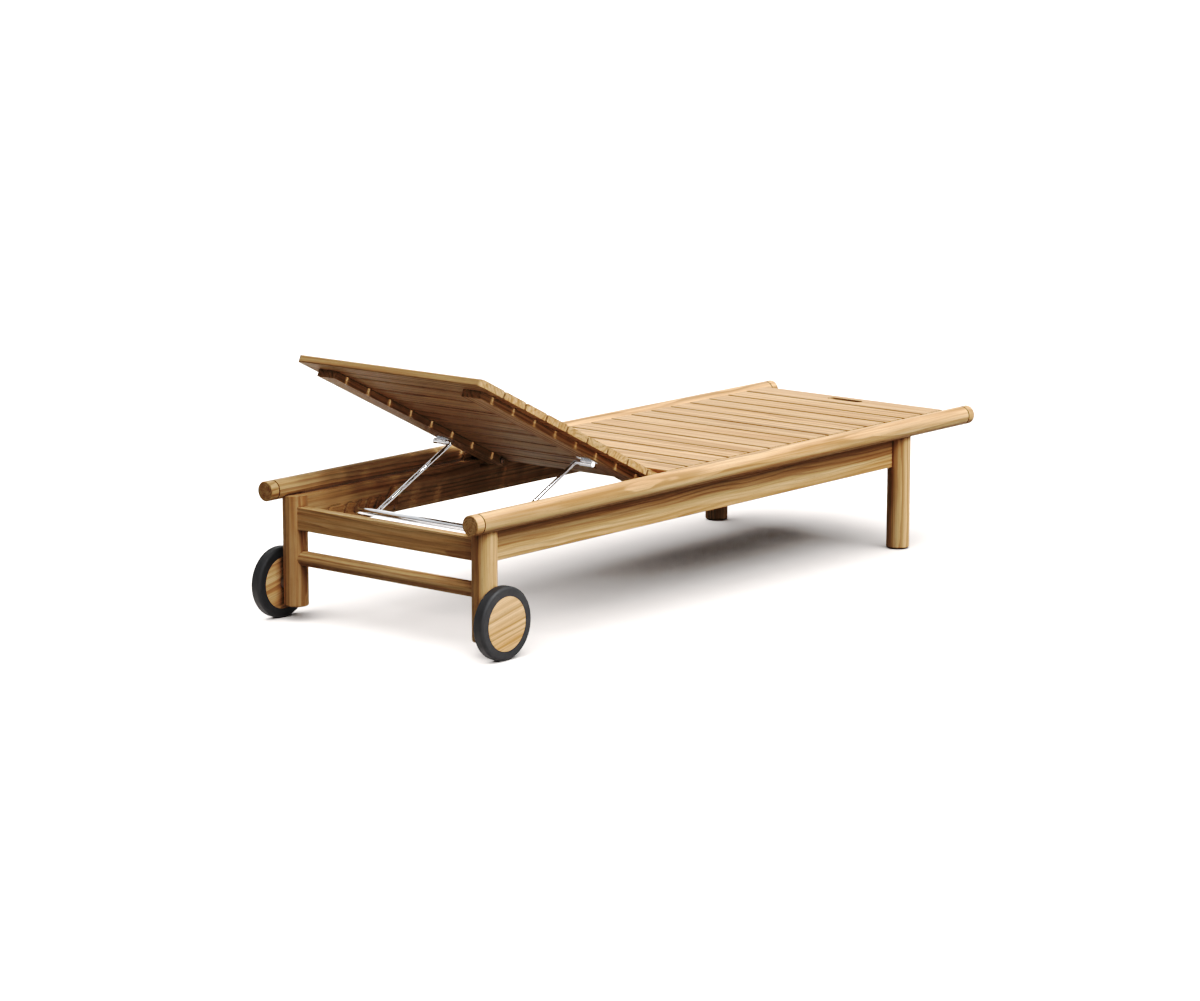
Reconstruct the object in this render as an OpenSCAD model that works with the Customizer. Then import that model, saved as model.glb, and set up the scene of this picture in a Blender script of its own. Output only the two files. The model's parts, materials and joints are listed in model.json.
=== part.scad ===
// Reclining sun lounger with a slatted seat, a stayed backrest and two wheels.
// Millimetres. The floor is z = 0, +X points to the foot end and +Z up.

/* [Frame] */
// Length of a side rail over its end caps
rail_len = 2030; // [2025:1:2035]
// Diameter of the round side rails
rail_d = 50; // [48:0.5:52]
// Width over the outer faces of the side aprons
frame_w = 620; // [600:5:640]
// Height of the side rails' centre lines
rail_z = 330; // [326:1:336]
// Diameter of the round legs
leg_d = 62; // [56:1:62]
// Height of the side aprons
apron_h = 90; // [80:1:96]
// Diameter of the stretcher between the head legs
stretcher_d = 38; // [30:1:40]

/* [Seat] */
// Thickness of the slats and end boards
slat_t = 18; // [16:0.5:18]
// Gap between neighbouring slats
slat_gap = 7; // [4:0.5:8]
// Rounding of the slats' long edges
slat_edge_r = 3; // [0.5:0.1:4]
// Length of the hand slot in the foot board
handle_len = 115; // [80:1:150]
// Width of the hand slot in the foot board
handle_w = 28; // [22:1:34]

/* [Backrest] */
// Angle of the backrest above the seat
recline = 26; // [0:1:52]
// Rounding of the head board's outer corners
head_corner_r = 12; // [4:1:25]

/* [Stay] */
// Diameter of the bent stay arms
arm_d = 10; // [8:0.5:10]
// Diameter of the cross bar
bar_d = 18; // [14:0.5:18]

/* [Wheels] */
// Diameter over the tyres
wheel_d = 178.4; // [170:0.2:184]
// Diameter of the wooden wheel discs
disc_d = 132.8; // [120:0.2:140]
// Width of the wheels
wheel_w = 31.5; // [29:0.5:34]

/* [Hidden] */
$fn = 64;
eps = 1;               // overshoot of cutting shapes
fit = 0.1;             // gap round a fixed joint
run = 0.3;             // gap between faces that move past each other

SEAT_SLATS = 13;
BACK_SLATS = 8;

WOOD = [0.76, 0.58, 0.38];
WOOD_END = [0.66, 0.47, 0.29];
CHROME = [0.80, 0.81, 0.83];
STEEL = [0.62, 0.63, 0.65];
BROWNED = [0.22, 0.17, 0.13];
RUBBER = [0.13, 0.14, 0.15];
NYLON = [0.10, 0.10, 0.10];

// Rails and their caps
rail_r = rail_d / 2;
apron_y = frame_w / 2;
rail_y = apron_y + rail_r;
cap_len = 28;
cap_groove = 3.5;
cap_neck_r = rail_r - 5;
cap_edge_r = 2.5;
spigot_r = 8;
spigot_len = 25;
rail_end = rail_len / 2 - cap_len;
head_inset = 78;       // head legs and wheels, from the rails' head ends
foot_inset = 281;      // foot legs, from the rails' foot ends
rail_x = (wheel_d / 2 - head_inset) / 2;   // the wheels reach past the rails

// Legs
leg_r = leg_d / 2;
leg_y = apron_y;
leg_top = rail_z - 16;
leg_edge_r = 5;
head_leg_x = rail_x - rail_len / 2 + head_inset;
foot_leg_x = rail_x + rail_len / 2 - foot_inset;
head_leg_z = 37;
glide_t = 2;
glide_r = 17;
glide_stem_r = 4;
glide_stem_len = 14;

// Aprons
apron_t = 25;
apron_edge_r = 2;
apron_z = leg_top - apron_h;
apron_x0 = head_leg_x + 8;
apron_x1 = foot_leg_x - 8;
head_apron_x = apron_x0 - 1 - apron_t;
head_apron_z0 = leg_top - 83;
head_apron_z1 = leg_top - 26;
foot_apron_x = apron_x1 + 1;
cross_tenon_y = leg_y - 8;
stretcher_z = 158.6;
stretcher_y = leg_y - 18;

// Seat
seat_z = rail_z;                       // underside of the slats
slat_y = apron_y - 10;
hinge_x = rail_x - 290;
seat_x = hinge_x + 45.5;
slat_w = 84.5 - slat_gap;
slat_pitch = slat_w + slat_gap;
foot_board_x = seat_x + SEAT_SLATS * slat_pitch;
foot_board_w = 95;
foot_corner_r = 5;
handle_x = foot_board_x + 54;
bearer_t = seat_z - leg_top;
bearer_in_y = apron_y - 40;
bearer_tongue_y = slat_y + 3;
bearer_tongue_x = seat_x - 75.5;
bearer_x0 = seat_x + 0.5;
bearer_x1 = foot_board_x + foot_board_w;
seat_batten_w = 88;
seat_batten_t = 18;
seat_batten_x1 = foot_board_x + 25;

// Backrest, in its own frame: the hinge axis is the origin and -X runs up it
hinge_z = rail_z - 9;
batten_t = 18;
batten_r = batten_t / 2;
batten_y0 = 206;
batten_y1 = 266;
batten_end_x = -673;
batten_nose_x = 20;     // centre of its rounded lower end
back_z = batten_r;                     // underside of the back slats
head_edge_x = -722;
head_board_w = 86;
back_slat_x = head_edge_x + head_board_w + slat_gap;
last_slat_w = slat_w - 5;
relief_x0 = hinge_x + 6;
relief_x1 = hinge_x + 48;
relief_z = hinge_z - 26;

// Hinge pins, held in the bearers' tongues
pin_r = 4;
pin_bore_r = pin_r + 0.1;
pin_head_r = 6;
pin_head_t = 3;
pin_sleeve_r = 5.5;
pin_end_y = bearer_tongue_y + 6;

// Stay: its pivot hangs under the backrest, its bar lies at notch height
stay_u = -203.5;
stay_h = -20;
stay_len = 310.1;
stay_r = arm_d / 2;
stay_y = 205;
stay_bend_r = 6;
bar_r = bar_d / 2;
bar_bore_r = bar_r - 1.5;
bar_y = 272;
bar_z = 255.5;
stay_x = hinge_x + stay_u * cos(recline) + stay_h * sin(recline);
stay_z = hinge_z - stay_u * sin(recline) + stay_h * cos(recline);
stay_dip = asin((stay_z - bar_z) / stay_len);

// Saddles that carry the stay under the battens
saddle_y0 = 221;
saddle_y1 = 256;
saddle_plate_y0 = 219;
saddle_plate_y1 = 257;
saddle_plate_l = 44;
saddle_plate_t = 2.5;
saddle_r = stay_r + 1.9;
saddle_bore_r = stay_r + fit;
saddle_web = 6;
saddle_screw_dx = 16;
collar_r = stay_r + 2;
collar_t = 5;

// Racks with the notches for the bar
rack_t = 12;
rack_y = apron_y - apron_t - rack_t;
rack_x0 = hinge_x - 558;
rack_stop_x = hinge_x - 345;
rack_x1 = rack_stop_x + 28;
rack_z0 = 235;
rack_z1 = 273;
rack_stop_z = 291;
rack_corner_r = 12;
notch_xs = [-510, -470, -434, -398, -362.5];      // from the hinge
notch_z = bar_z - 0.5;
notch_r = bar_r + 0.6;
notch_lean = 30;
rack_screws = [rack_x0 + 18, rack_x0 + 118, rack_x1 - 14];
rack_screw_z = 240;

// Wheels
axle_z = wheel_d / 2;
axle_r = 8;
axle_y0 = leg_y - leg_r + 8;
spot_y = leg_y + leg_r - 4;
spot_r = 14;
wheel_y = leg_y + 39.3;
wheel_y1 = wheel_y + wheel_w;
disc_r = disc_d / 2;
disc_edge = 0.8;
tyre_edge_r = 8;
hub_r = 12;
hub_depth = wheel_w - 4.5;
bush_len = hub_depth - 4;
button_r = 10;
button_t = 3;

// Screws and bolts
screw_r = 2;
screw_head_r = 4;
screw_cone = 2;
bolt_r = 4;
bolt_y = apron_y + 15;
bolt_z0 = leg_top - 44;
bolt_z1 = rail_z + 4;

// Shapes shared by the parts

module round_rect(w, h, r) {
    translate([r, 0]) square([w - 2 * r, h]);
    translate([0, r]) square([w, h - 2 * r]);
    for (x = [r, w - r]) {
        for (y = [r, h - r]) {
            translate([x, y]) circle(r);
        }
    }
}

// A board whose length runs along Y, centred on the middle
module board_y(x, z, w, t, half_len, r) {
    translate([x, half_len, z]) rotate([90, 0, 0])
        linear_extrude(2 * half_len) round_rect(w, t, r);
}

// A board whose length runs along X
module board_x(x, y, z, len, w, t, r) {
    translate([x, y, z]) rotate([90, 0, 90])
        linear_extrude(len) round_rect(w, t, r);
}

// A cylinder from y0 to y1 along Y
module rod_y(x, z, y0, y1, r) {
    translate([x, y0, z]) rotate([-90, 0, 0]) cylinder(h = y1 - y0, r = r);
}

// The outline in X and Z, given thickness from y0 to y1
module plate_xz(y0, y1) {
    translate([0, y1, 0]) rotate([90, 0, 0]) linear_extrude(y1 - y0) children();
}

// The left side as drawn, the right side mirrored
module on_side(left) {
    if (left) children();
    else mirror([0, 1, 0]) children();
}

// The backrest's own frame
module on_back() {
    translate([hinge_x, 0, hinge_z]) rotate([0, recline, 0]) children();
}

// The stay's own frame: the arms run along -X from the pivot axis
module on_stay() {
    translate([stay_x, 0, stay_z]) rotate([0, -stay_dip, 0]) children();
}

// A countersunk screw whose head is flush at y and whose tip points along +Y
module screw_out(x, y, z, len, grow) {
    rod_y(x, z, y, y + len, screw_r + grow);
    translate([x, y, z]) rotate([-90, 0, 0])
        cylinder(h = screw_cone, r1 = screw_head_r + grow, r2 = screw_r + grow);
}

module rail_space() {
    translate([rail_x - rail_len / 2, rail_y, rail_z]) rotate([0, 90, 0])
        cylinder(h = rail_len, r = rail_r + fit);
}

module leg_bolts(grow) {
    for (x = [head_leg_x, foot_leg_x]) {
        translate([x, bolt_y, bolt_z0])
            cylinder(h = bolt_z1 - bolt_z0 + grow, r = bolt_r + grow);
    }
}

module rack_screw_set(grow) {
    for (x = rack_screws) screw_out(x, rack_y, rack_screw_z, 30, grow);
}

// Frame

module rail(left) {
    color(WOOD) on_side(left) difference() {
        translate([rail_x - rail_end, rail_y, rail_z]) rotate([0, 90, 0])
            cylinder(h = 2 * rail_end, r = rail_r);
        for (x = [-rail_end - eps, rail_end - spigot_len - eps]) {
            translate([rail_x + x, rail_y, rail_z]) rotate([0, 90, 0])
                cylinder(h = spigot_len + 2 * eps, r = spigot_r + fit);
        }
        leg_bolts(fit);
    }
}

module cap(left, foot) {
    body = cap_len - cap_groove;
    color(WOOD_END) on_side(left)
        translate([rail_x + (foot ? rail_end : -rail_end), rail_y, rail_z])
        rotate([0, foot ? 90 : -90, 0]) rotate_extrude() {
            translate([0, -spigot_len]) square([spigot_r, spigot_len]);
            square([cap_neck_r, cap_groove]);
            translate([0, cap_groove]) square([rail_r, body - cap_edge_r]);
            translate([0, cap_groove]) square([rail_r - cap_edge_r, body]);
            translate([rail_r - cap_edge_r, cap_len - cap_edge_r])
                intersection() {
                    circle(cap_edge_r);
                    square(cap_edge_r);
                }
        }
}

module leg_shape(x, z) {
    height = leg_top - z;
    translate([x, leg_y, z]) rotate_extrude() {
        square([leg_r - leg_edge_r, height]);
        translate([0, leg_edge_r]) square([leg_r, height - leg_edge_r]);
        translate([leg_r - leg_edge_r, leg_edge_r]) rotate(-90) intersection() {
            circle(leg_edge_r);
            square(leg_edge_r);
        }
    }
}

module apron_space() {
    translate([apron_x0 - fit, apron_y - apron_t - fit, apron_z - fit])
        cube([apron_x1 - apron_x0 + 2 * fit, apron_t + 2 * fit, apron_h + eps]);
}

module cross_space(x, z0, z1) {
    translate([x - fit, -cross_tenon_y - fit, z0 - fit])
        cube([apron_t + 2 * fit, 2 * (cross_tenon_y + fit), z1 - z0 + 2 * fit]);
}

module leg_head(left) {
    color(WOOD) on_side(left) difference() {
        leg_shape(head_leg_x, head_leg_z);
        rail_space();
        apron_space();
        cross_space(head_apron_x, head_apron_z0, head_apron_z1);
        rod_y(head_leg_x, stretcher_z, 0, stretcher_y + fit, stretcher_d / 2 + fit);
        rod_y(head_leg_x, axle_z, axle_y0, wheel_y, axle_r);
        rod_y(head_leg_x, axle_z, spot_y, wheel_y, spot_r + fit);
        leg_bolts(fit);
    }
}

module leg_foot(left) {
    color(WOOD) on_side(left) difference() {
        leg_shape(foot_leg_x, glide_t);
        rail_space();
        apron_space();
        cross_space(foot_apron_x, apron_z, leg_top - 3);
        translate([foot_leg_x, leg_y, 0])
            cylinder(h = glide_t + glide_stem_len + eps, r = glide_stem_r + fit);
        leg_bolts(fit);
    }
}

module foot_glides() {
    color(NYLON) for (left = [true, false]) {
        on_side(left) translate([foot_leg_x, leg_y, 0]) {
            cylinder(h = glide_t, r = glide_r);
            cylinder(h = glide_t + glide_stem_len, r = glide_stem_r);
        }
    }
}

module apron(left) {
    color(WOOD) on_side(left) difference() {
        board_x(apron_x0, apron_y - apron_t, apron_z, apron_x1 - apron_x0,
                apron_t, apron_h, apron_edge_r);
        translate([relief_x0, 0, relief_z])
            cube([relief_x1 - relief_x0, slat_y + 0.5, rail_z - relief_z]);
        rack_screw_set(fit);
    }
}

module apron_head() {
    color(WOOD) board_y(head_apron_x, head_apron_z0, apron_t,
                        head_apron_z1 - head_apron_z0, cross_tenon_y, apron_edge_r);
}

module apron_foot() {
    color(WOOD) board_y(foot_apron_x, apron_z, apron_t,
                        apron_h - 3, cross_tenon_y, apron_edge_r);
}

module stretcher_head() {
    color(WOOD) rod_y(head_leg_x, stretcher_z, -stretcher_y, stretcher_y,
                      stretcher_d / 2);
}

module bearer_bar(x0, x1, y) {
    translate([x0, 0, 0]) rotate([90, 0, 90]) linear_extrude(x1 - x0)
        difference() {
            translate([y, leg_top]) square([rail_y - y, bearer_t]);
            translate([rail_y, rail_z]) circle(rail_r + fit);
        }
}

module bearer(left) {
    color(WOOD) on_side(left) difference() {
        union() {
            bearer_bar(bearer_x0, bearer_x1, bearer_in_y);
            bearer_bar(bearer_tongue_x, bearer_x0 + eps, bearer_tongue_y);
        }
        rod_y(hinge_x, hinge_z, 0, pin_end_y + fit, pin_r + fit);
        leg_bolts(fit);
    }
}

module seat_batten() {
    color(WOOD) board_x(bearer_x0, -seat_batten_w / 2, seat_z - seat_batten_t,
                        seat_batten_x1 - bearer_x0, seat_batten_w, seat_batten_t,
                        apron_edge_r);
}

module seat_slat(i) {
    color(WOOD) board_y(seat_x + (i - 1) * slat_pitch, seat_z, slat_w, slat_t,
                        slat_y, slat_edge_r);
}

// A board's plan with both corners of its far edge rounded
module corner_plan(w, r) {
    translate([0, -slat_y]) square([w - r, 2 * slat_y]);
    translate([0, r - slat_y]) square([w, 2 * (slat_y - r)]);
    for (y = [r - slat_y, slat_y - r]) {
        translate([w - r, y]) circle(r);
    }
}

module foot_board() {
    grip = handle_len - handle_w;
    color(WOOD) difference() {
        intersection() {
            board_y(foot_board_x, seat_z, foot_board_w, slat_t, slat_y, slat_edge_r);
            translate([foot_board_x, 0, seat_z - eps])
                linear_extrude(slat_t + 2 * eps) corner_plan(foot_board_w, foot_corner_r);
        }
        translate([handle_x, 0, seat_z - eps]) linear_extrude(slat_t + 2 * eps) {
            square([handle_w, grip], center = true);
            for (y = [-grip / 2, grip / 2]) {
                translate([0, y]) circle(handle_w / 2);
            }
        }
    }
}

module hinge_pins() {
    head_y = batten_y0 - run;
    color(BROWNED) for (left = [true, false]) {
        on_side(left) {
            rod_y(hinge_x, hinge_z, head_y - eps, pin_end_y, pin_r);
            rod_y(hinge_x, hinge_z, head_y - pin_head_t, head_y, pin_head_r);
            rod_y(hinge_x, hinge_z, batten_y1 + run, bearer_tongue_y - fit, pin_sleeve_r);
        }
    }
}

// A leaning notch that opens upwards, round at the bottom
module notch(x) {
    translate([x, notch_z]) {
        circle(notch_r);
        rotate(-notch_lean) translate([-notch_r, 0])
            square([2 * notch_r, 2 * (rack_stop_z - notch_z)]);
    }
}

module rack_outline() {
    flat_x = rack_x0 + rack_corner_r;
    translate([rack_x0, rack_z0])
        square([rack_x1 - rack_x0, rack_z1 - rack_corner_r - rack_z0]);
    translate([flat_x, rack_z0]) square([rack_x1 - flat_x, rack_z1 - rack_z0]);
    translate([flat_x, rack_z1 - rack_corner_r]) circle(rack_corner_r);
    translate([rack_stop_x, rack_z0])
        square([rack_x1 - rack_stop_x, rack_stop_z - rack_z0]);
}

module stay_racks() {
    color(WOOD) for (left = [true, false]) {
        on_side(left) difference() {
            plate_xz(rack_y, rack_y + rack_t) difference() {
                rack_outline();
                for (x = notch_xs) notch(hinge_x + x);
            }
            rack_screw_set(fit);
        }
    }
}

module axles() {
    color(STEEL) for (left = [true, false]) {
        on_side(left) {
            hub_end = wheel_y + bush_len + run;
            rod_y(head_leg_x, axle_z, axle_y0, hub_end + button_t, axle_r);
            rod_y(head_leg_x, axle_z, spot_y, wheel_y - run, spot_r);
            rod_y(head_leg_x, axle_z, hub_end, hub_end + button_t, button_r);
        }
    }
}

module frame_bolts() {
    color(BROWNED) for (left = [true, false]) {
        on_side(left) {
            leg_bolts(0);
            rack_screw_set(0);
        }
    }
}

// Backrest

module head_board() {
    color(WOOD) on_back() intersection() {
        board_y(head_edge_x, back_z, head_board_w, slat_t, slat_y, slat_edge_r);
        translate([head_edge_x + head_board_w, 0, back_z - eps]) rotate(180)
            linear_extrude(slat_t + 2 * eps) corner_plan(head_board_w, head_corner_r);
    }
}

module back_slat(i) {
    width = i == BACK_SLATS ? last_slat_w : slat_w;
    color(WOOD) on_back()
        board_y(back_slat_x + (i - 1) * slat_pitch, back_z, width, slat_t,
                slat_y, slat_edge_r);
}

module saddle_screw_set(grow) {
    top = -batten_r - saddle_plate_t;
    for (dx = [-saddle_screw_dx, saddle_screw_dx]) {
        translate([stay_u + dx, (saddle_plate_y0 + saddle_plate_y1) / 2, top]) {
            cylinder(h = 15, r = screw_r + grow);
            cylinder(h = screw_cone, r1 = screw_head_r + grow, r2 = screw_r + grow);
        }
    }
}

module back_batten(left) {
    color(WOOD) on_side(left) on_back() difference() {
        plate_xz(batten_y0, batten_y1) {
            translate([batten_nose_x, 0]) circle(batten_r);
            translate([batten_end_x, -batten_r])
                square([batten_nose_x - batten_end_x, batten_t]);
        }
        rod_y(0, 0, batten_y0 - eps, batten_y1 + eps, pin_bore_r);
        saddle_screw_set(fit);
    }
}

module saddle(left) {
    color(CHROME) on_side(left) on_back() difference() {
        union() {
            translate([stay_u - saddle_plate_l / 2, saddle_plate_y0,
                       -batten_r - saddle_plate_t])
                cube([saddle_plate_l, saddle_plate_y1 - saddle_plate_y0, saddle_plate_t]);
            translate([stay_u - saddle_web / 2, saddle_y0, stay_h])
                cube([saddle_web, saddle_y1 - saddle_y0,
                      -batten_r - saddle_plate_t - stay_h + eps]);
            rod_y(stay_u, stay_h, saddle_y0, saddle_y1, saddle_r);
        }
        rod_y(stay_u, stay_h, saddle_y0 - eps, saddle_y1 + eps, saddle_bore_r);
        saddle_screw_set(fit);
    }
}

module saddle_screws() {
    color(STEEL) for (left = [true, false]) {
        on_side(left) on_back() saddle_screw_set(0);
    }
}

// Stay

module stay_arm(left) {
    bend_y = stay_y + stay_bend_r;
    collar_y = saddle_y1 + run;
    color(CHROME) on_side(left) on_stay() difference() {
        union() {
            translate([-stay_bend_r, stay_y, 0]) rotate([0, -90, 0])
                cylinder(h = stay_len - stay_bend_r, r = stay_r);
            translate([-stay_bend_r, bend_y, 0]) rotate(-90)
                rotate_extrude(angle = 90) translate([stay_bend_r, 0]) circle(stay_r);
            rod_y(0, 0, bend_y, collar_y + collar_t, stay_r);
            rod_y(0, 0, collar_y, collar_y + collar_t, collar_r);
        }
        rod_y(-stay_len, 0, 0, bar_y, bar_r);
    }
}

module stay_bar() {
    color(CHROME) on_stay() difference() {
        rod_y(-stay_len, 0, -bar_y, bar_y, bar_r);
        rod_y(-stay_len, 0, -bar_y - eps, bar_y + eps, bar_bore_r);
    }
}

// Wheels

module wheel_disc(left) {
    color(WOOD) on_side(left) translate([head_leg_x, wheel_y, axle_z])
        rotate([-90, 0, 0]) rotate_extrude() polygon([
            [hub_r, 0], [disc_r - disc_edge, 0], [disc_r, disc_edge],
            [disc_r, wheel_w - disc_edge], [disc_r - disc_edge, wheel_w],
            [0, wheel_w], [0, hub_depth], [hub_r, hub_depth]]);
}

module tyre(left) {
    outer = wheel_d / 2;
    shoulder = outer - tyre_edge_r;
    color(RUBBER) on_side(left) translate([head_leg_x, wheel_y, axle_z])
        rotate([-90, 0, 0]) rotate_extrude() {
            translate([disc_r, 0]) square([shoulder - disc_r, wheel_w]);
            translate([disc_r, tyre_edge_r])
                square([outer - disc_r, wheel_w - 2 * tyre_edge_r]);
            for (y = [tyre_edge_r, wheel_w - tyre_edge_r]) {
                translate([shoulder, y]) circle(tyre_edge_r);
            }
        }
}

module hub_bush(left) {
    color(NYLON) on_side(left) translate([head_leg_x, wheel_y, axle_z])
        rotate([-90, 0, 0]) difference() {
            cylinder(h = bush_len, r = hub_r);
            translate([0, 0, -eps]) cylinder(h = bush_len + 2 * eps, r = axle_r + fit);
        }
}

rail(true);  // rail_left
rail(false);  // rail_right
cap(true, false);  // cap_head_left
cap(false, false);  // cap_head_right
cap(true, true);  // cap_foot_left
cap(false, true);  // cap_foot_right
leg_head(true);  // leg_head_left
leg_head(false);  // leg_head_right
leg_foot(true);  // leg_foot_left
leg_foot(false);  // leg_foot_right
foot_glides();
apron(true);  // apron_left
apron(false);  // apron_right
apron_head();
apron_foot();
stretcher_head();
bearer(true);  // bearer_left
bearer(false);  // bearer_right
seat_batten();
foot_board();
for (i = [1:SEAT_SLATS]) {
    seat_slat(i);
}
hinge_pins();
stay_racks();
axles();
frame_bolts();
head_board();
for (i = [1:BACK_SLATS]) {
    back_slat(i);
}
back_batten(true);  // back_batten_left
back_batten(false);  // back_batten_right
saddle(true);  // saddle_left
saddle(false);  // saddle_right
saddle_screws();
stay_arm(true);  // stay_arm_left
stay_arm(false);  // stay_arm_right
stay_bar();
wheel_disc(true);  // wheel_disc_left
wheel_disc(false);  // wheel_disc_right
tyre(true);  // tyre_left
tyre(false);  // tyre_right
hub_bush(true);  // hub_bush_left
hub_bush(false);  // hub_bush_right
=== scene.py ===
import json
import math
import random

import bpy
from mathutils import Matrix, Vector


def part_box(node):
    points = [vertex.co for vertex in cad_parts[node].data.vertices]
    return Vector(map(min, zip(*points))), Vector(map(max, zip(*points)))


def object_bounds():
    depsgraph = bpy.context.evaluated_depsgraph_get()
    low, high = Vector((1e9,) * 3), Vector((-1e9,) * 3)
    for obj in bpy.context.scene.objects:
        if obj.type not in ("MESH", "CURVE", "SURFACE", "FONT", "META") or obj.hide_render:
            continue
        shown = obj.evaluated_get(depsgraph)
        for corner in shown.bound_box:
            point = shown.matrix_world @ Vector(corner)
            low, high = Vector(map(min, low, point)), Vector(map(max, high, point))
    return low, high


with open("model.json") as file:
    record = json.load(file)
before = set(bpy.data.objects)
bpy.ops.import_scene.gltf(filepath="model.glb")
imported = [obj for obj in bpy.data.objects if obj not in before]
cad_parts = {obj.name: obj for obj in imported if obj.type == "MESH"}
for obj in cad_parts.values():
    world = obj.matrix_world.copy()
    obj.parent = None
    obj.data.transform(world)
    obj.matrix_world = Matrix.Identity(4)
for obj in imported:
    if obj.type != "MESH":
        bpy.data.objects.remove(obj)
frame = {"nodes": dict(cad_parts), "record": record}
cad_low, cad_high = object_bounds()

SLOT_OF = {s["node"]: s["material_slot"] for s in frame["record"]["subparts"]}
SEAT_BOARDS = [n for n in frame["nodes"] if n.startswith("seat_slat_") or n == "foot_board"]


def middle(node):
    low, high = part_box(node)
    return (Vector(low) + Vector(high)) / 2


def half_width(node):
    """Half of a piece's extent along the lounger."""
    low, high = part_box(node)
    return (high[0] - low[0]) / 2


def srgb(r, g, b):
    """A colour of 0 to 255 steps as linear values."""
    def lin(c):
        c /= 255.0
        return c / 12.92 if c <= 0.04045 else ((c + 0.055) / 1.055) ** 2.4
    return (lin(r), lin(g), lin(b))


# ---------------------------------------------------------------- node helpers

class Net:
    """A material's node tree with short calls for the nodes used here."""

    def __init__(self, name):
        self.mat = bpy.data.materials.new(name)
        self.mat.use_nodes = True
        self.tree = self.mat.node_tree
        self.tree.nodes.clear()
        self.out = self.tree.nodes.new("ShaderNodeOutputMaterial")
        self.shader = self.tree.nodes.new("ShaderNodeBsdfPrincipled")
        self.tree.links.new(self.shader.outputs["BSDF"], self.out.inputs["Surface"])

    def put(self, socket, value):
        if isinstance(value, bpy.types.NodeSocket):
            self.tree.links.new(value, socket)
        else:
            socket.default_value = value

    def math(self, op, a, b=0.0):
        n = self.tree.nodes.new("ShaderNodeMath")
        n.operation = op
        self.put(n.inputs[0], a)
        if op not in ("SQRT", "ABSOLUTE", "FRACT"):
            self.put(n.inputs[1], b)
        return n.outputs[0]

    def ramp01(self, value, low, high, out_low=0.0, out_high=1.0):
        n = self.tree.nodes.new("ShaderNodeMapRange")
        n.interpolation_type = "SMOOTHSTEP"
        self.put(n.inputs["Value"], value)
        n.inputs["From Min"].default_value = low
        n.inputs["From Max"].default_value = high
        n.inputs["To Min"].default_value = out_low
        n.inputs["To Max"].default_value = out_high
        return n.outputs["Result"]

    def mapping(self, vector, loc=(0, 0, 0), rot=(0, 0, 0), scale=(1, 1, 1)):
        n = self.tree.nodes.new("ShaderNodeMapping")
        self.put(n.inputs["Vector"], vector)
        n.inputs["Location"].default_value = loc
        n.inputs["Rotation"].default_value = rot
        n.inputs["Scale"].default_value = scale
        return n.outputs["Vector"]

    def hypot(self, a, b):
        squares = self.math("ADD", self.math("MULTIPLY", a, a), self.math("MULTIPLY", b, b))
        return self.math("SQRT", squares)

    def noise(self, vector, scale, detail, rough):
        n = self.tree.nodes.new("ShaderNodeTexNoise")
        self.put(n.inputs["Vector"], vector)
        n.inputs["Scale"].default_value = scale
        n.inputs["Detail"].default_value = detail
        n.inputs["Roughness"].default_value = rough
        return n.outputs["Fac"]

    def mix(self, fac, a, b, blend="MIX"):
        n = self.tree.nodes.new("ShaderNodeMix")
        n.data_type = "RGBA"
        n.blend_type = blend
        self.put(n.inputs[0], fac)
        self.put(n.inputs[6], a)
        self.put(n.inputs[7], b)
        return n.outputs[2]

    def stain(self, fac, base, colour):
        """The base colour with another laid over it."""
        return self.mix(fac, base, (*colour, 1.0))

    def ramp(self, fac, stops):
        n = self.tree.nodes.new("ShaderNodeValToRGB")
        self.put(n.inputs["Fac"], fac)
        marks = n.color_ramp.elements
        while len(marks) < len(stops):
            marks.new(0.5)
        for mark, (position, colour) in zip(marks, stops):
            mark.position = position
            mark.color = (*colour, 1.0)
        return n.outputs["Color"]

    def bump(self, height, strength, distance):
        n = self.tree.nodes.new("ShaderNodeBump")
        n.inputs["Strength"].default_value = strength
        n.inputs["Distance"].default_value = distance
        self.put(n.inputs["Height"], height)
        return n.outputs["Normal"]

    def surface(self, colour, rough, normal):
        self.put(self.shader.inputs["Base Color"], colour)
        self.put(self.shader.inputs["Roughness"], rough)
        self.put(self.shader.inputs["Normal"], normal)

    def coords(self):
        return self.tree.nodes.new("ShaderNodeTexCoord").outputs

    def split(self, vector):
        n = self.tree.nodes.new("ShaderNodeSeparateXYZ")
        self.put(n.inputs[0], vector)
        return n.outputs


# ---------------------------------------------------------------- wood

RECLINE = math.radians(26)      # the backrest's angle, which its battens share
DISC_GRAIN = math.radians(12)   # how far the wheels' grain is turned from level

# For each kind of wooden piece, the rotation that brings its grain onto the texture's X axis
TURNS = {
    "teak_along": (0.0, 0.0, 0.0),
    "teak_cap": (0.0, 0.0, 0.0),
    "teak_across": (0.0, 0.0, math.radians(-90)),
    "teak_upright": (0.0, math.radians(90), 0.0),
    "teak_batten": (0.0, -RECLINE, 0.0),
    "teak_disc": (0.0, DISC_GRAIN, 0.0),
}

# Growth rings: the gap between them and the nearest and farthest pith, in metres, and a factor
# on how far they wander
RINGS = {"ring_gap": 0.011, "pith": (0.035, 0.10), "figure": 1.0}
CAP_RINGS = {"ring_gap": 0.006, "pith": (0.004, 0.012), "figure": 1.0}
DISC_RINGS = {"ring_gap": 0.010, "pith": (0.045, 0.07), "figure": 0.9}
DISC_TINT = 1.14                # the wheels' discs are paler than the boards

GAP_SHADE_START = 0.0065            # painted shade's width along the seat's gaps, and its full part
GAP_SHADE_FULL = 0.0015
SHADE_REACH = 0.014             # how near another piece darkens the wood

TEAK_PALE = srgb(213, 179, 135)
TEAK_MID = srgb(194, 150, 105)
TEAK_DARK = srgb(150, 103, 64)
TEAK_VEIN = srgb(112, 70, 40)


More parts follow.
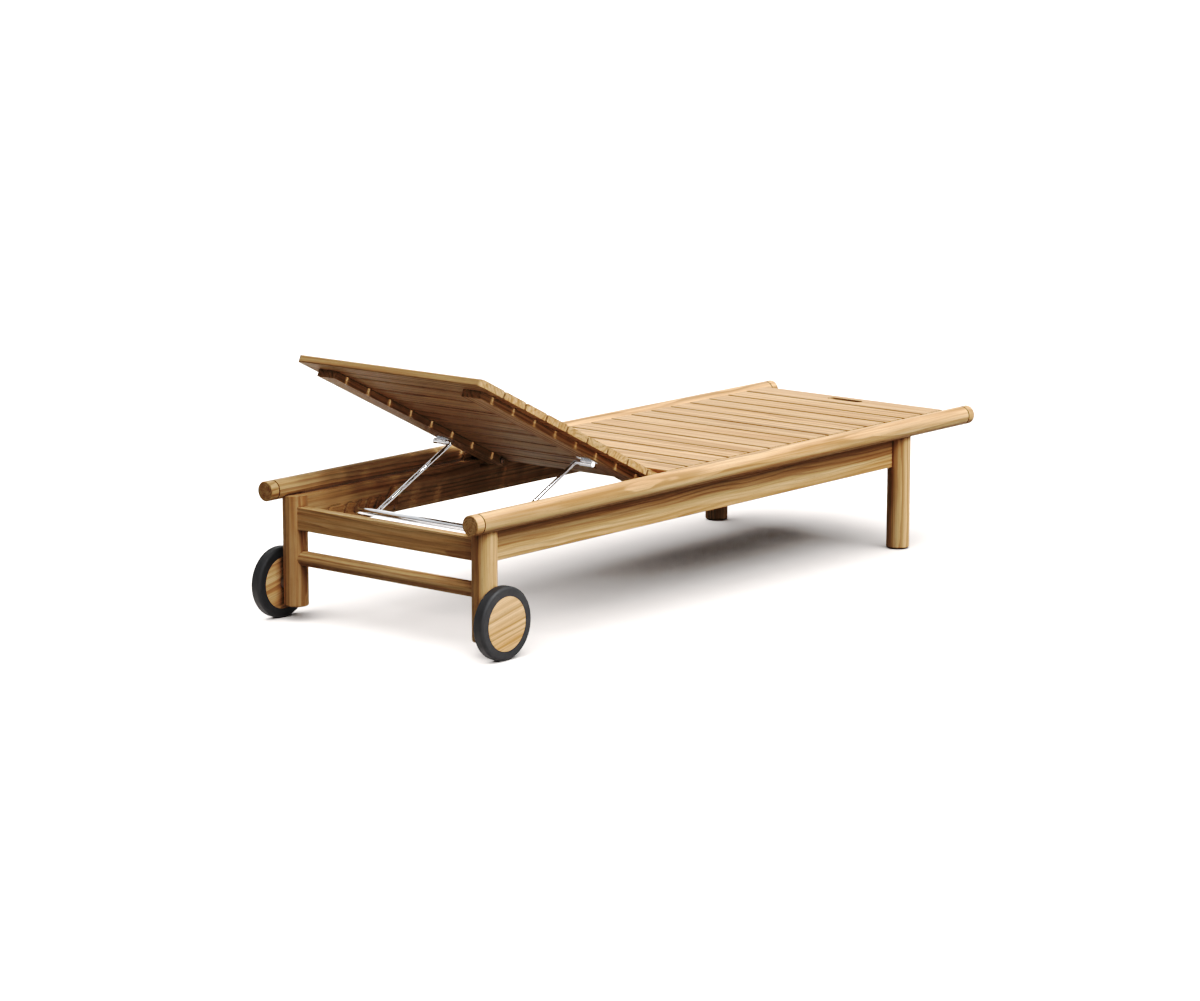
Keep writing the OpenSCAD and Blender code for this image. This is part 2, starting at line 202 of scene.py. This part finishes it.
def teak(name, turn, centre, rng, ring_gap, pith, figure, tint=1.0, seam=None):
    """Solid oiled teak: growth rings round a pith beside the board, fibres, pores, end grain.

    Where seam is given, it is the board's half width, and its long edges are darkened with
    painted shade."""
    n = Net(name)
    co = n.coords()
    # the board's own axes: X runs along the grain, the origin is the board's middle
    local = n.mapping(co["Object"], loc=tuple(-c for c in centre))
    local = n.mapping(local, rot=turn)
    normal = n.mapping(co["Normal"], rot=turn)
    angle = rng.uniform(0, 2 * math.pi)
    away = rng.uniform(*pith)
    shift = rng.uniform(-20, 20)
    about = n.mapping(local, loc=(shift, away * math.cos(angle), away * math.sin(angle)))

    # slow wander of the rings along the board
    wander = n.noise(n.mapping(about, scale=(1.6, 7, 7)), 1.0, 2.0, 0.5)
    drift = n.noise(n.mapping(about, scale=(5.5, 26, 26)), 1.0, 2.0, 0.55)
    parts = n.split(about)
    radius = n.hypot(parts[1], parts[2])
    radius = n.math("ADD", radius, n.math("MULTIPLY", wander, 0.045 * figure))
    radius = n.math("ADD", radius, n.math("MULTIPLY", drift, 0.007 * figure))
    ring = n.math("FRACT", n.math("DIVIDE", radius, ring_gap))
    late = n.math("MULTIPLY", n.ramp01(ring, 0.30, 0.86), n.ramp01(ring, 1.0, 0.93))

    # some rings are stronger than others
    strong = n.noise(n.mapping(about, scale=(0.9, 60, 60)), 1.0, 1.0, 0.5)
    late = n.math("MULTIPLY", late, n.ramp01(strong, 0.36, 0.66, 0.25, 1.0))

    fibre = n.noise(n.mapping(about, scale=(7, 330, 330)), 1.0, 4.0, 0.62)
    streak = n.noise(n.mapping(about, scale=(1.3, 75, 75)), 1.0, 3.0, 0.6)
    patch = n.noise(n.mapping(about, scale=(1.1, 9, 9)), 1.0, 2.0, 0.5)
    pore = n.noise(n.mapping(about, scale=(55, 1500, 1500)), 1.0, 2.0, 0.6)

    base = n.ramp(streak, [(0.30, TEAK_DARK), (0.46, TEAK_MID), (0.64, TEAK_PALE)])
    base = n.stain(n.ramp01(patch, 0.30, 0.72, 0.0, 0.5), base, TEAK_PALE)
    base = n.stain(n.math("MULTIPLY", late, 0.58), base, TEAK_VEIN)
    base = n.stain(n.ramp01(fibre, 0.34, 0.62, 0.38, 0.0), base, TEAK_DARK)
    base = n.stain(n.ramp01(pore, 0.60, 0.74, 0.0, 0.45), base, TEAK_VEIN)

    # sawn ends drink more oil
    end = n.ramp01(n.math("ABSOLUTE", n.split(normal)[0]), 0.75, 0.97)
    base = n.stain(n.math("MULTIPLY", end, 0.12), base, TEAK_VEIN)

    # painted shade along the gaps between the seat's boards: long edges and side faces darkened
    if seam:
        side = n.math("ABSOLUTE", n.split(local)[1])
        gap_shade = n.ramp01(side, seam - GAP_SHADE_START, seam - GAP_SHADE_FULL, 0.0, 0.65)
        base = n.stain(gap_shade, base, TEAK_VEIN)

    # boards differ in depth of tone, and a little in warmth
    depth = tint * rng.uniform(0.91, 1.05)
    warmth = rng.uniform(-0.012, 0.012)
    tone = (depth * (1 + warmth), depth, depth * (1 - 2 * warmth), 1.0)
    base = n.mix(1.0, base, tone, "MULTIPLY")

    # painted shade: the wood is darkened in corners and gaps, wherever another piece is near
    corners = n.tree.nodes.new("ShaderNodeAmbientOcclusion")
    corners.samples = 6
    corners.inputs["Distance"].default_value = SHADE_REACH
    painted_corner_shade = n.ramp01(corners.outputs["AO"], 0.28, 0.72, 0.22, 1.0)

    rough = n.math("ADD", n.ramp01(fibre, 0.3, 0.7, 0.50, 0.62), n.math("MULTIPLY", end, 0.15))
    height = n.math("ADD", n.math("MULTIPLY", fibre, 0.6), n.math("MULTIPLY", late, -0.35))
    height = n.math("ADD", height, n.math("MULTIPLY", n.ramp01(pore, 0.58, 0.74), -0.5))
    n.shader.inputs["Specular IOR Level"].default_value = 0.06
    # the painted corner shade multiplies the base colour
    n.surface(n.mix(1.0, base, painted_corner_shade, "MULTIPLY"), rough, n.bump(height, 0.35, 0.0006))
    return n.mat


# ---------------------------------------------------------------- metal, rubber, nylon

def chrome(name):
    """Polished chrome, faintly smeared and scratched."""
    n = Net(name)
    co = n.coords()["Object"]
    smear = n.noise(n.mapping(co, scale=(18, 18, 18)), 1.0, 4.0, 0.6)
    scratch = n.noise(n.mapping(co, scale=(900, 60, 900)), 1.0, 2.0, 0.5)
    tone = n.ramp(smear, [(0.25, srgb(196, 198, 202)), (0.75, srgb(232, 233, 235))])
    rough = n.math("ADD", n.ramp01(smear, 0.3, 0.75, 0.05, 0.14),
                   n.ramp01(scratch, 0.55, 0.8, 0.0, 0.08))
    n.shader.inputs["Metallic"].default_value = 1.0
    n.surface(tone, rough, n.bump(scratch, 0.04, 0.0002))
    return n.mat


def steel(name, dark, light):
    """Brushed steel, between a darker and a lighter tone."""
    n = Net(name)
    co = n.coords()["Object"]
    brushed = n.noise(n.mapping(co, scale=(1500, 90, 1500)), 1.0, 3.0, 0.6)
    smear = n.noise(n.mapping(co, scale=(30, 30, 30)), 1.0, 3.0, 0.6)
    n.shader.inputs["Metallic"].default_value = 1.0
    n.surface(n.ramp(smear, [(0.3, dark), (0.7, light)]),
              n.ramp01(brushed, 0.3, 0.7, 0.26, 0.42), n.bump(brushed, 0.12, 0.0003))
    return n.mat


def rubber(name, wheel):
    """Matt tyre rubber, rubbed paler on the tread and dusty in its fine texture."""
    n = Net(name)
    co = n.coords()["Object"]
    local = n.mapping(co, loc=tuple(-c for c in middle(wheel)))
    parts = n.split(local)
    radius = n.hypot(parts[0], parts[2])
    grain = n.noise(co, 1400.0, 3.0, 0.6)
    mottle = n.noise(co, 38.0, 4.0, 0.6)
    rim = half_width(wheel)
    tread = n.ramp01(radius, rim - 0.0057, rim - 0.0007)
    rubbed = n.math("MULTIPLY", tread, n.ramp01(mottle, 0.35, 0.6, 0.12, 0.35))
    base = n.ramp(mottle, [(0.3, srgb(17, 18, 20)), (0.7, srgb(26, 27, 29))])
    base = n.stain(rubbed, base, srgb(50, 50, 51))
    base = n.stain(n.ramp01(grain, 0.58, 0.75, 0.0, 0.3), base, srgb(42, 42, 43))
    n.shader.inputs["Specular IOR Level"].default_value = 0.4
    n.surface(base, n.ramp01(mottle, 0.3, 0.7, 0.58, 0.74), n.bump(grain, 0.25, 0.0004))
    return n.mat


def nylon(name):
    """Black moulded nylon with a fine grain."""
    n = Net(name)
    co = n.coords()["Object"]
    grain = n.noise(co, 700.0, 3.0, 0.6)
    tone = n.ramp(grain, [(0.3, srgb(28, 28, 29)), (0.7, srgb(44, 44, 45))])
    n.surface(tone, n.ramp01(grain, 0.3, 0.7, 0.42, 0.56), n.bump(grain, 0.12, 0.0003))
    return n.mat


def wear(obj, mat):
    """Puts one material on the whole of a piece."""
    if not obj.material_slots:
        obj.data.materials.append(mat)
    for place in obj.material_slots:
        place.material = mat


def wood(name, slot):
    """A teak of the piece's own, so that no two boards match."""
    rng = random.Random("board " + name)
    common = ("teak_" + name, TURNS[slot], middle(name), rng)
    if slot == "teak_disc":
        return teak(*common, **DISC_RINGS, tint=DISC_TINT)
    if slot == "teak_cap":
        return teak(*common, **CAP_RINGS)
    return teak(*common, **RINGS, seam=half_width(name) if name in SEAT_BOARDS else None)


def dress():
    """Gives every piece its material."""
    shared = {"chrome_stay": chrome("chrome_stay"),
              "steel_fixings": steel("steel_fixings", srgb(150, 152, 156), srgb(188, 190, 192)),
              "browned_steel": steel("browned_steel", srgb(58, 46, 38), srgb(78, 62, 50)),
              "black_nylon": nylon("black_nylon")}
    for name in sorted(frame["nodes"]):
        slot = SLOT_OF[name]
        if slot in shared:
            mat = shared[slot]
        elif slot == "tyre_rubber":
            mat = rubber("rubber_" + name, name)
        else:
            mat = wood(name, slot)
        wear(frame["nodes"][name], mat)


dress()

# ---------------------------------------------------------------- floor, light, camera

FLOOR_SIZE = 160.0
PAPER = ((0.83, 0.785, 0.755), (0.85, 0.805, 0.775))
PAPER_BOUNCE = (0.032, 0.030, 0.028)    # what the paper throws back up at the lounger


def plane(name, size, z):
    mesh = bpy.data.meshes.new(name)
    h = size / 2
    mesh.from_pydata([(-h, -h, z), (h, -h, z), (h, h, z), (-h, h, z)], [], [(0, 1, 2, 3)])
    obj = bpy.data.objects.new(name, mesh)
    bpy.context.collection.objects.link(obj)
    return obj


def paper_material():
    """White paper, which is dark to the light that bounces off it."""
    n = Net("floor_paint")
    speck = n.noise(n.coords()["Object"], 9.0, 3.0, 0.5)
    paper = n.ramp(speck, [(0.3, PAPER[0]), (0.7, PAPER[1])])
    bounced = n.tree.nodes.new("ShaderNodeLightPath").outputs["Is Diffuse Ray"]
    n.put(n.shader.inputs["Base Color"], n.stain(bounced, paper, PAPER_BOUNCE))
    n.shader.inputs["Roughness"].default_value = 1.0
    n.shader.inputs["Specular IOR Level"].default_value = 0.0
    return n.mat


def receivers(name, objects):
    """The pieces that a light shines on."""
    group = bpy.data.collections.new(name)
    for obj in objects:
        group.objects.link(obj)
    return group


def sun(name, toward, strength, angle, lights_up):
    """A distant light that stands in the direction given and is angle degrees wide."""
    data = bpy.data.lights.new(name, "SUN")
    data.energy = strength
    data.angle = math.radians(angle)
    obj = bpy.data.objects.new(name, data)
    obj.rotation_mode = "QUATERNION"
    obj.rotation_quaternion = Vector(toward).to_track_quat("Z", "Y")
    bpy.context.collection.objects.link(obj)
    obj.light_linking.receiver_collection = lights_up


floor = plane("floor", FLOOR_SIZE, cad_low.z)
floor.data.materials.append(paper_material())

# the lounger and the paper it stands on are lit apart, as in a catalogue picture
lounger = receivers("lounger", frame["nodes"].values())
paper_floor = receivers("paper_floor", [floor])
sun("key", (0.06, -0.76, 1.0), 3.0, 56, lounger)
sun("window", (0.28, -0.62, 0.80), 1.45, 8, lounger)
sun("fill", (-0.62, -0.76, 0.34), 0.30, 50, lounger)
sun("rim", (0.60, 0.75, 0.45), 0.40, 45, lounger)
sun("paper_light", (-0.25, -0.12, 1.0), 6.8, 100, paper_floor)

SKY_LOW = (0.05, (0.10, 0.10, 0.105, 1.0))  # height and colour where the grey ends
SKY_HIGH = (0.85, (1.0, 1.0, 1.0, 1.0))     # and where the white starts
SKY_ON_MATT = 0.2
SKY_IN_GLOSS = 1.0


def sky():
    """Grey at the horizon to white overhead, stronger in reflections than as light."""
    world = bpy.data.worlds.new("studio")
    bpy.context.scene.world = world
    world.use_nodes = True
    nodes = world.node_tree.nodes
    links = world.node_tree.links
    around = nodes.new("ShaderNodeTexCoord")
    height = nodes.new("ShaderNodeSeparateXYZ")
    shade = nodes.new("ShaderNodeValToRGB")
    links.new(around.outputs["Generated"], height.inputs[0])
    links.new(height.outputs[2], shade.inputs["Fac"])
    for mark, (position, colour) in zip(shade.color_ramp.elements, (SKY_LOW, SKY_HIGH)):
        mark.position = position
        mark.color = colour
    level = nodes.new("ShaderNodeMapRange")
    ray = nodes.new("ShaderNodeLightPath")
    links.new(ray.outputs["Is Glossy Ray"], level.inputs["Value"])
    level.inputs["To Min"].default_value = SKY_ON_MATT
    level.inputs["To Max"].default_value = SKY_IN_GLOSS
    links.new(shade.outputs["Color"], nodes["Background"].inputs["Color"])
    links.new(level.outputs["Result"], nodes["Background"].inputs["Strength"])


sky()

# Plain colour management with a tone curve on top: a soft shoulder and deeper shade
TONE_WHITE = (0.95, 1.0)
TONE_POINTS = ((0.033, 0.024), (0.071, 0.082), (0.214, 0.33), (0.62, 0.73))
view = bpy.context.scene.view_settings
view.view_transform = "Standard"
view.look = "None"
view.use_curve_mapping = True
tone_curve = view.curve_mapping.curves[3]
tone_curve.points[1].location = TONE_WHITE
for tone_in, tone_out in TONE_POINTS:
    tone_curve.points.new(tone_in, tone_out)
view.curve_mapping.update()

# The camera stands beyond the head end on the right, 2.1 m above the floor
CAMERA_BEYOND = 7.5619
CAMERA_ASIDE = 6.2106
CAMERA_HEIGHT = 2.0849
CAMERA_TILT = 79.097
CAMERA_TURN = -50.088
centre = (cad_low + cad_high) / 2
camera_data = bpy.data.cameras.new("camera")
camera_data.sensor_fit = "HORIZONTAL"
camera_data.sensor_width = 36.0
camera_data.lens = 115.6
camera_data.clip_end = 400.0
camera = bpy.data.objects.new("camera", camera_data)
camera.location = Vector((centre.x - CAMERA_BEYOND, centre.y - CAMERA_ASIDE, CAMERA_HEIGHT))
camera.rotation_euler = (math.radians(CAMERA_TILT), 0.0, math.radians(CAMERA_TURN))
bpy.context.collection.objects.link(camera)
bpy.context.scene.camera = camera
